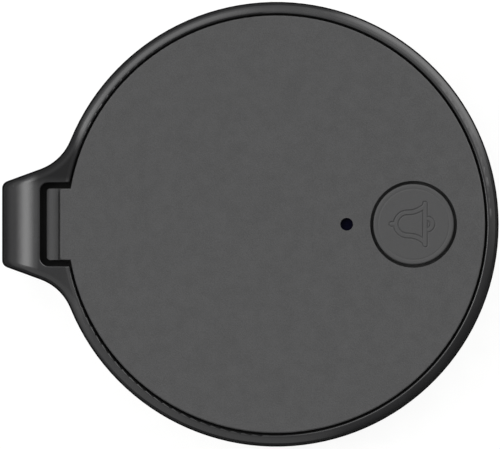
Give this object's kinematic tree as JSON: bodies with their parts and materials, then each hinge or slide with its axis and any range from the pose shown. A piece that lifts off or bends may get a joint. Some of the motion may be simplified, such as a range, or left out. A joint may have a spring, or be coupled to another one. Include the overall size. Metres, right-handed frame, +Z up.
{
  "type": "bluetooth tracker tag",
  "caption": "Flat round wireless tracker with a key-ring bail, a pry-off front cover, a push button, a coin cell and a sounder.",
  "frame": {"origin": "on the disc's axis, in the flat face of the rear shell", "axes": "+Z up through the front cover; -X towards the key-ring bail; +X towards the push button; +Y completes a right-handed frame"},
  "size_m": [0.0447, 0.04, 0.0075],
  "materials": {
    "bezel_gloss": "polished moulding, charcoal",
    "rear_black": "fine spark-eroded grain, black",
    "seal_silicone": "silicone, satin",
    "cover_grey": "fine spark-eroded grain, dark grey",
    "pipe_smoked": "smoked translucent resin",
    "pad_foam": "closed-cell foam",
    "button_grey": "fine grain with a smooth recessed symbol",
    "board_laminate": "green solder mask over glass laminate",
    "chip_mould": "moulded epoxy, laser marked",
    "crystal_can": "nickel-plated lid",
    "antenna_ceramic": "fired ceramic with silver ends",
    "led_resin": "clear resin over a pale base",
    "passive_ceramic": "ceramic chips with tinned ends",
    "inductor_ferrite": "ferrite, matte",
    "switch_plastic": "glass-filled plastic",
    "spring_steel": "rolled strip",
    "tinned_copper": "tin plated",
    "plunger_plastic": "natural nylon",
    "cell_steel": "nickel-plated steel",
    "gasket_nylon": "nylon",
    "cell_filling": "pressed powder and foil",
    "cradle_plastic": "satin moulding, black",
    "sounder_brass": "rolled sheet",
    "piezo_ceramic": "silvered ceramic",
    "bond_adhesive": "adhesive film",
    "screw_steel": "zinc plated"
  },
  "bodies": {
    "case": {"bezel_frame": "bezel_gloss", "rear_shell": "rear_black", "rear_seal": "seal_silicone", "circuit_board": "board_laminate", "radio_chip": "chip_mould", "crystal": "crystal_can", "chip_antenna": "antenna_ceramic", "indicator_led": "led_resin", "passives": "passive_ceramic", "power_inductor": "inductor_ferrite", "switch_body": "switch_plastic", "switch_plate": "spring_steel", "switch_dome": "spring_steel", "switch_terminals": "tinned_copper", "cell_cradle": "cradle_plastic", "positive_contact": "spring_steel", "negative_contact": "spring_steel", "sounder_plate": "sounder_brass", "sounder_ceramic": "piezo_ceramic", "sounder_bond": "bond_adhesive", "sounder_contacts": "spring_steel", "case_screws": "screw_steel"},
    "cover": {"front_cover": "cover_grey", "light_pipe": "pipe_smoked", "cover_seal": "seal_silicone", "cell_pad": "pad_foam"},
    "button": {"button_cap": "button_grey"},
    "plunger": {"switch_plunger": "plunger_plastic"},
    "battery": {"cell_can": "cell_steel", "cell_gasket": "gasket_nylon", "cell_cap": "cell_steel", "cell_core": "cell_filling"}
  },
  "joints": [
    {"name": "cover_lift", "type": "slide", "parent": "case", "child": "cover", "axis": [0, 0, 1], "range_m": [0, 0.016]},
    {"name": "button_press", "type": "slide", "parent": "cover", "child": "button", "axis": [0, 0, -1], "range_m": [0, 0.00025], "stiffness_N_per_m": 5000},
    {"name": "plunger_press", "type": "slide", "parent": "case", "child": "plunger", "axis": [0, 0, -1], "range_m": [0, 0.00025], "deforming": ["switch_dome"]},
    {"name": "cell_lift", "type": "slide", "parent": "case", "child": "battery", "axis": [0, 0, 1], "range_m": [0, 0.008]}
  ],
  "couplings": [
    {"joint": "plunger_press", "follows": "button_press", "ratio": 1},
    {"joint": "cell_lift", "follows": "cover_lift", "ratio": 0.5}
  ]
}
